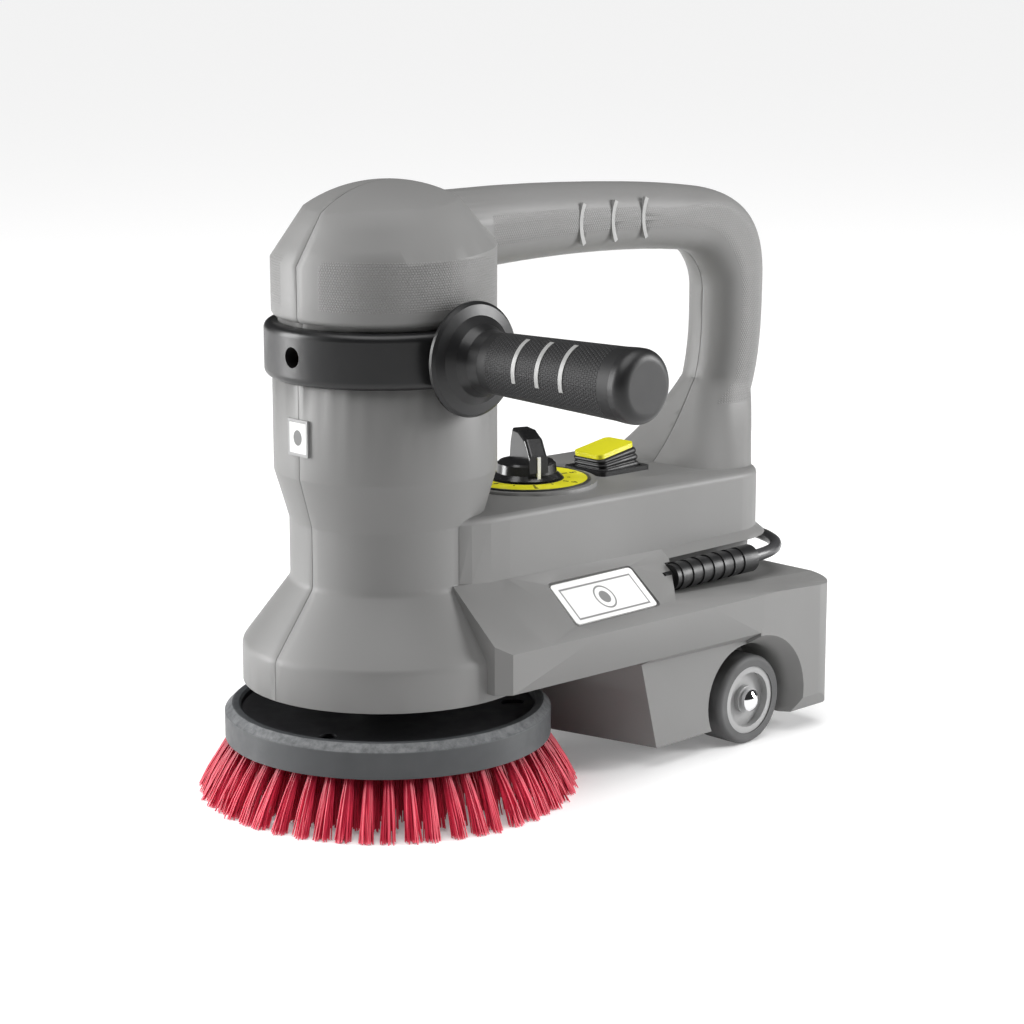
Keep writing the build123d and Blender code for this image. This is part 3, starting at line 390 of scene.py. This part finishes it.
def nameplate_look():
    """White plate with a thin grey border and one plain pictogram in its middle: a brush disc in a ring."""
    low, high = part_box("nameplate")
    middle_x, middle_z = (low.x + high.x) / 2, (low.z + high.z) / 2
    half_x, half_z = (high.x - low.x) / 2, (high.z - low.z) / 2
    look = Look("nameplate_print", (0.8, 0.8, 0.79), 0.3, Coat_Weight=0.3)
    x, y, z = look.split()
    u = look.ramp(x, middle_x - half_x, middle_x + half_x, -1.0, 1.0)
    v = look.ramp(z, middle_z - half_z, middle_z + half_z, -1.0, 1.0)
    white = look.mix(look.ramp(look.noise(200, 3.0), 0.3, 0.7), (0.78, 0.78, 0.77), (0.85, 0.85, 0.84))
    inside = look.math("MULTIPLY", look.between(u, -0.88, 0.88, 0.006), look.between(v, -0.74, 0.74, 0.015))
    kept = look.math("MULTIPLY", look.between(u, -0.85, 0.85, 0.006), look.between(v, -0.66, 0.66, 0.015))
    border = look.math("SUBTRACT", inside, kept)
    disc_at = look.join(look.math("MULTIPLY", u, half_x * 1000), look.math("MULTIPLY", v, half_z * 1400), 0.0)
    distance = look.vector("LENGTH", disc_at)
    pictogram = look.math("MAXIMUM", look.between(distance, 5.0, 5.8, 0.12), look.ramp(distance, 3.1, 2.9))
    marks = look.math("MAXIMUM", border, pictogram)
    look.colour(look.mix(marks, white, (0.22, 0.22, 0.22)))
    return look


def label_look():
    """Pale plate with a dark border and one plain dot."""
    low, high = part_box("head_label")
    middle = (low.z + high.z) / 2
    half = (high.z - low.z) / 2
    look = Look("label_print", (0.8, 0.8, 0.79), 0.35)
    x, y, z = look.split()
    across = look.math("DIVIDE", y, high.y)
    up = look.math("DIVIDE", look.math("SUBTRACT", z, middle), half)
    edge = look.math("MAXIMUM", look.math("ABSOLUTE", across), look.math("ABSOLUTE", up))
    border = look.ramp(edge, 0.80, 0.84)
    spot = look.ramp(look.vector("LENGTH", look.join(across, up, 0.0)), 0.46, 0.40)
    face = look.mix(spot, (0.62, 0.62, 0.61), (0.05, 0.05, 0.05))
    look.colour(look.mix(border, face, (0.20, 0.20, 0.20)))
    look.bump(border, 0.4, 0.0003)
    return look


def scale_look():
    """Yellow dial plate with a dark rim."""
    look = Look("scale_print", (0.72, 0.68, 0.02), 0.42)
    x, y, z = look.split()
    radius = look.vector("LENGTH", look.join(look.math("SUBTRACT", x, KNOB_X), y, 0.0))
    rim = look.ramp(radius, 0.0283, 0.0285)
    inner = look.ramp(radius, 0.0176, 0.0174)
    yellow = look.mix(look.ramp(look.noise(120, 3.0), 0.3, 0.7), (0.66, 0.62, 0.012), (0.76, 0.72, 0.025))
    look.colour(look.mix(look.math("MAXIMUM", rim, inner), yellow, (0.03, 0.03, 0.03)))
    return grain(look)


# ---------------------------------------------------------------- mesh helper
def mesh_piece(name, verts, faces, smooth=True):
    mesh = bpy.data.meshes.new(name)
    mesh.from_pydata([tuple(v) for v in verts], [], faces)
    mesh.validate()
    for polygon in mesh.polygons:
        polygon.use_smooth = smooth
    piece = bpy.data.objects.new(name, mesh)
    bpy.context.scene.collection.objects.link(piece)
    return piece


def skin(rings):
    """Quads between rings of points, each ring a closed loop; the two ends are capped."""
    count = len(rings[0])
    verts = [point for ring in rings for point in ring]
    faces = []
    for r in range(len(rings) - 1):
        for i in range(count):
            j = (i + 1) % count
            faces.append((r * count + i, r * count + j, (r + 1) * count + j, (r + 1) * count + i))
    faces.append(tuple(reversed(range(count))))
    faces.append(tuple((len(rings) - 1) * count + i for i in range(count)))
    return verts, faces


def soften(piece, width, segments=2, angle=35):
    """Small rounded edges on a piece or a CAD node, as moulding leaves them."""
    target = NODES[piece] if isinstance(piece, str) else piece
    weld = target.modifiers.new("join_faces", "WELD")
    weld.merge_threshold = 1e-6
    bevel = target.modifiers.new("edges", "BEVEL")
    bevel.width = width
    bevel.segments = segments
    bevel.limit_method = "ANGLE"
    bevel.angle_limit = math.radians(angle)
    bevel.harden_normals = True
    bevel.use_clamp_overlap = True


# ---------------------------------------------------------------- brush
BRISTLE_ROOT_Z = 0.0254
FILAMENT_SIDES = 4


def filament(verts, faces, root, tip, bow, radius):
    """One tapered filament as a thin bent prism."""
    along = (tip - root).normalized()
    side = along.orthogonal().normalized()
    other = along.cross(side)
    first = len(verts)
    steps = 3
    for step in range(steps + 1):
        share = step / steps
        centre = root.lerp(tip, share) + bow * (4 * share * (1 - share))
        r = radius * (1 - 0.25 * share)
        for k in range(FILAMENT_SIDES):
            angle = 2 * math.pi * k / FILAMENT_SIDES
            verts.append(centre + side * (r * math.cos(angle)) + other * (r * math.sin(angle)))
    for step in range(steps):
        for k in range(FILAMENT_SIDES):
            a = first + step * FILAMENT_SIDES
            j = (k + 1) % FILAMENT_SIDES
            faces.append((a + k, a + j, a + FILAMENT_SIDES + j, a + FILAMENT_SIDES + k))
    last = first + steps * FILAMENT_SIDES
    faces.append(tuple(last + k for k in range(FILAMENT_SIDES)))
    faces.append(tuple(first + k for k in reversed(range(FILAMENT_SIDES))))


def tuft_row(name, root_r, tip_r, tufts, strands, width, phase, seed, foot=0.0):
    """A ring of tufts that fan out towards their tips."""
    rng = random.Random(seed)
    verts, faces = [], []
    for n in range(tufts):
        angle = 2 * math.pi * (n + phase) / tufts
        out = Vector((math.cos(angle), math.sin(angle), 0))
        round_ = Vector((-math.sin(angle), math.cos(angle), 0))
        lean = rng.uniform(-0.0012, 0.0012)
        for _ in range(strands):
            spin, reach = rng.uniform(0, 2 * math.pi), math.sqrt(rng.random())
            sideways, depth = reach * math.cos(spin), reach * math.sin(spin)
            root = out * (root_r + depth * 0.0016) + round_ * (sideways * 0.0016)
            root.z = BRISTLE_ROOT_Z
            tip = out * (tip_r + depth * 0.0032 + rng.uniform(-0.001, 0.001))
            tip += round_ * (sideways * width / 2 + lean + rng.uniform(-0.0005, 0.0005))
            tip.z = foot + abs(rng.gauss(0, 0.0007))
            bow = out * rng.uniform(0.0002, 0.0014) + round_ * rng.uniform(-0.0004, 0.0004)
            filament(verts, faces, root, tip, bow, rng.uniform(0.00032, 0.00042))
    piece = mesh_piece(name, verts, faces, smooth=False)
    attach(piece, "brush")
    return piece


def add_bristles(look):
    outer = [tuft_row("tufts_outer", 0.0690, 0.0824, 52, 46, 0.0070, 0.0, 11),
             tuft_row("tufts_second", 0.0618, 0.0700, 46, 24, 0.0056, 0.5, 12, 0.0015)]
    for piece in outer:
        dress(look, piece)
        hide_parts("bristles_outer")
    for n, (root_r, tufts) in enumerate(((0.0550, 40), (0.0460, 34), (0.0370, 27), (0.0280, 20))):
        name = f"tufts_inner_{n + 1}"
        piece = tuft_row(name, root_r, root_r + 0.003, tufts, 13, 0.0060, 0.25 * n, 20 + n, 0.001)
        dress(look, piece)
        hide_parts("bristles_inner")


# ---------------------------------------------------------------- cord
CORD_D = 0.006
COIL_TURNS_OUT, COIL_PITCH = 6, 0.0062
COIL_OUTER_R, COIL_FLOOR_Z = 0.0665, 0.0032
COIL_TURNS = 29.25
POINTS_PER_TURN = 16
LEAD_ROUTE = [
    (180.0, -57.0, 85.2), (193.0, -57.4, 85.7), (206.0, -52.5, 86.3), (215.5, -41.5, 86.6),
    (221.5, -26.0, 86.5), (226.5, -9.0, 86.2), (231.5, 9.0, 84.0), (236.0, 26.0, 77.5),
    (239.5, 42.0, 64.5), (241.5, 56.0, 47.0), (242.3, 69.0, 28.0), (242.5, 83.0, 12.5),
    (242.4, 99.0, 4.6), (242.0, 118.0, 3.3), (241.7, 138.0, 3.2), (241.5, 158.0, 3.2),
]
TAIL_ROUTE = [
    (175.0, 197.5, 28.2), (160.0, 198.0, 31.5), (143.5, 194.0, 34.6), (129.0, 183.5, 35.6),
    (121.5, 167.0, 36.2), (123.5, 148.5, 37.5), (134.5, 133.5, 40.5), (151.5, 126.0, 43.5),
    (169.0, 125.5, 43.5),
]


def coil_place(turns):
    """Radius and height of the wound cord after some turns: out to in, up, in to out, and so on."""
    whole = int(turns)
    share = max(0.0, (turns - whole - 0.8) / 0.2)
    ease = share * share * (3 - 2 * share)

    def column_and_layer(k):
        layer, step = divmod(k, COIL_TURNS_OUT)
        return (step if layer % 2 == 0 else COIL_TURNS_OUT - 1 - step), layer

    (c0, l0), (c1, l1) = column_and_layer(whole), column_and_layer(whole + 1)
    radius = COIL_OUTER_R - COIL_PITCH * (c0 + (c1 - c0) * ease)
    return radius, COIL_FLOOR_Z + COIL_PITCH * (l0 + (l1 - l0) * ease)


def coil_points():
    """Control points of the wound cord, a little outside its line, as the spline cuts their corners."""
    points = []
    total = int(COIL_TURNS * POINTS_PER_TURN)
    for n in range(1, total):
        turns = n / POINTS_PER_TURN
        radius, z = coil_place(turns)
        radius /= math.cos(math.pi / POINTS_PER_TURN)
        angle = 2 * math.pi * turns
        points.append((COIL_X + radius * math.cos(angle), COIL_Y + radius * math.sin(angle), z))
    return points


def add_cord(look):
    lead = [tuple(c * MM for c in p) for p in LEAD_ROUTE]
    tail = [tuple(c * MM for c in p) for p in TAIL_ROUTE]
    points = lead + coil_points() + tail
    curve = bpy.data.curves.new("mains_cord", "CURVE")
    curve.dimensions = "3D"
    curve.resolution_u = 6
    curve.bevel_depth = CORD_D / 2
    curve.bevel_resolution = 3
    curve.use_fill_caps = True
    spline = curve.splines.new("NURBS")
    spline.points.add(len(points) - 1)
    for point, place in zip(spline.points, points):
        point.co = (*place, 1)
    spline.order_u = 3
    spline.use_endpoint_u = True
    cord = bpy.data.objects.new("mains_cord", curve)
    bpy.context.scene.collection.objects.link(cord)
    dress(look, cord)
    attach(cord, "machine")
    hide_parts("power_cord", "power_cord_tail", "cord_coil")


# ---------------------------------------------------------------- controls
def rounded_loop(half_x, half_y, corner, per_corner=7):
    """Points of a rounded rectangle about the origin."""
    points = []
    for sx, sy, start in ((1, 1, 0), (-1, 1, 90), (-1, -1, 180), (1, -1, 270)):
        for k in range(per_corner):
            angle = math.radians(start + 90 * k / (per_corner - 1))
            points.append((sx * (half_x - corner) + corner * math.cos(angle),
                           sy * (half_y - corner) + corner * math.sin(angle)))
    return points


def add_bellows(look):
    """Rubber boot with three pleats; it stands square on the frame and its top is leaned to the rocker's rest
    angle.
    """
    foot, top = 0.0046, 0.0131
    pleats, per_pleat = 3, 8
    rings = []
    total = pleats * per_pleat
    for n in range(total + 1):
        share = n / total
        bulge = math.sqrt(abs(math.sin(math.pi * pleats * share)))
        half_x = 0.0122 - 0.0006 * share + 0.0012 * bulge
        half_y = 0.0094 - 0.0004 * share + 0.0012 * bulge
        tilt = Matrix.Rotation(-ROCKER_REST * share, 3, "Y")
        z = foot + (top - foot) * share
        ring = [tilt @ Vector((x, y, z)) for x, y in rounded_loop(half_x, half_y, 0.0034)]
        rings.append([point + Vector((ROCKER_X, 0, ROCKER_PIVOT_Z)) for point in ring])
    verts, faces = skin(rings)
    piece = mesh_piece("switch_boot", verts, faces)
    dress(look, piece)
    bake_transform(piece)
    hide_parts("switch_bellows")


def add_scale_ticks(look):
    """Long and short ticks round the knob."""
    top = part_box("scale_disc")[1].z
    verts, faces = [], []
    for n in range(11):
        angle = math.radians(SCALE_START_DEG + SCALE_STEP_DEG * n)
        out = Vector((math.cos(angle), math.sin(angle), 0))
        side = Vector((-out.y, out.x, 0))
        inner, outer = (0.0190, 0.0216) if n % 2 == 0 else (0.0190, 0.0204)
        half = 0.0005 if n % 2 == 0 else 0.0003
        first = len(verts)
        for height in (top - 0.0001, top + 0.00012):
            for r, s in ((inner, -half), (inner, half), (outer, half), (outer, -half)):
                verts.append(Vector((KNOB_X, 0, height)) + out * r + side * s)
        faces += [tuple(first + k for k in face) for face in
                  ((4, 5, 6, 7)[::-1], (0, 1, 2, 3), (0, 4, 5, 1)[::-1], (1, 5, 6, 2)[::-1],
                   (2, 6, 7, 3)[::-1], (3, 7, 4, 0)[::-1])]
    ticks = mesh_piece("scale_ticks", verts, faces, smooth=False)
    dress(look, ticks)
    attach(ticks, "machine")


def add_scale_figures(look):
    """Plain figures outside every second tick."""
    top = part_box("scale_disc")[1].z
    for n in range(6):
        angle = math.radians(SCALE_START_DEG + 2 * SCALE_STEP_DEG * n)
        text = bpy.data.curves.new(f"scale_figure_{n + 1}", "FONT")
        text.body = str(n + 1)
        text.size = 0.0048
        text.extrude = 0.00008
        text.align_x = "CENTER"
        text.align_y = "CENTER"
        holder = bpy.data.objects.new(f"scale_figure_{n + 1}", text)
        holder.location = (KNOB_X + 0.0246 * math.cos(angle), 0.0246 * math.sin(angle), top + 0.00005)
        holder.rotation_euler = (0, 0, angle - math.pi / 2)
        bpy.context.scene.collection.objects.link(holder)
        bpy.context.view_layer.update()
        mesh = bpy.data.meshes.new_from_object(holder)
        figure = bpy.data.objects.new(f"scale_number_{n + 1}", mesh)
        figure.matrix_world = holder.matrix_world.copy()
        bpy.data.objects.remove(holder)
        bpy.context.scene.collection.objects.link(figure)
        dress(look, figure)
        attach(figure, "machine")


# ---------------------------------------------------------------- dress the machine
def dress_nodes():
    black = plain_look("black_plastic", (0.010, 0.010, 0.0105), 0.34, 40, 0.10, Specular_IOR_Level=0.34)
    dark = plain_look("dark_plastic", (0.022, 0.022, 0.024), 0.5, 35, 0.10, Specular_IOR_Level=0.4)
    rubber = plain_look("black_rubber", (0.012, 0.012, 0.0125), 0.40, 60, 0.12, Specular_IOR_Level=0.36)
    gloss = plain_look("knob_plastic", (0.012, 0.012, 0.0125), 0.20, 40, 0.08, Specular_IOR_Level=0.5)
    steel = metal("machined_steel", (0.50, 0.50, 0.51), 0.34)
    copper = metal("copper", (0.72, 0.33, 0.18), 0.35)
    brass = metal("turned_brass", (0.68, 0.52, 0.22), 0.32)
    dress(body_plastic(), "left_shell", "right_shell")
    soften("left_shell", SHELL_EDGE_R)
    soften("right_shell", SHELL_EDGE_R)
    dress(dark, "base_cover", "gear_case", "gear_plate", "motor_bracket", "potentiometer", "brush_socket",
          "fan", "brush_top_plate", "carbon_brushes")
    dress(black, "collar_ring", "side_handle_core", "switch_frame", "switch_body")
    dress(gloss, "speed_knob")
    dress(rubber, "strain_relief", "side_handle_end")
    dress(steel, "body_screws", "side_handle_stud", "spindle_bearings", "motor_bearings", "stator", "axle",
          "rocker_pin", "spindle", "drive_gear", "layshaft", "layshaft_gear", "layshaft_pinion", "motor_shaft",
          "motor_pinion", "armature", "knob_shaft")
    dress(copper, "field_coils", "commutator")
    dress(brass, "collar_inserts", "brush_holders")
    dress(grip_rubber(), "side_handle_grip")
    dress(plain_look("inlay_grey", (0.27, 0.27, 0.265), 0.42), "side_grip_inlays", "loop_inlays")
    dress(nameplate_look(), "nameplate")
    dress(label_look(), "head_label")
    dress(slate_plastic(), "brush_block")
    dress(wheel_rubber(), "tyre_left", "tyre_right")
    dress(plain_look("rim_grey", (0.30, 0.30, 0.30), 0.42), "rim_left", "rim_right")
    dress(metal("polished_chrome", (0.80, 0.80, 0.81), 0.07), "axle_caps")
    dress(scale_look(), "scale_disc")
    dress(plain_look("pointer_white", (0.80, 0.80, 0.79), 0.4), "knob_pointer")
    dress(plain_look("rocker_yellow", (0.74, 0.70, 0.02), 0.24, Coat_Weight=0.3), "rocker_cap")
    dress(board_look(), "control_board")
    dress(plain_look("plug_rubber", (0.035, 0.035, 0.037), 0.45), "plug")
    return rubber, dark


add_camera()
add_lights()
add_floor()
rubber_look, dark_look = dress_nodes()
add_cord(cord_look())
add_bristles(bristle_look())
add_bellows(rubber_look)
add_scale_ticks(dark_look)
add_scale_figures(dark_look)
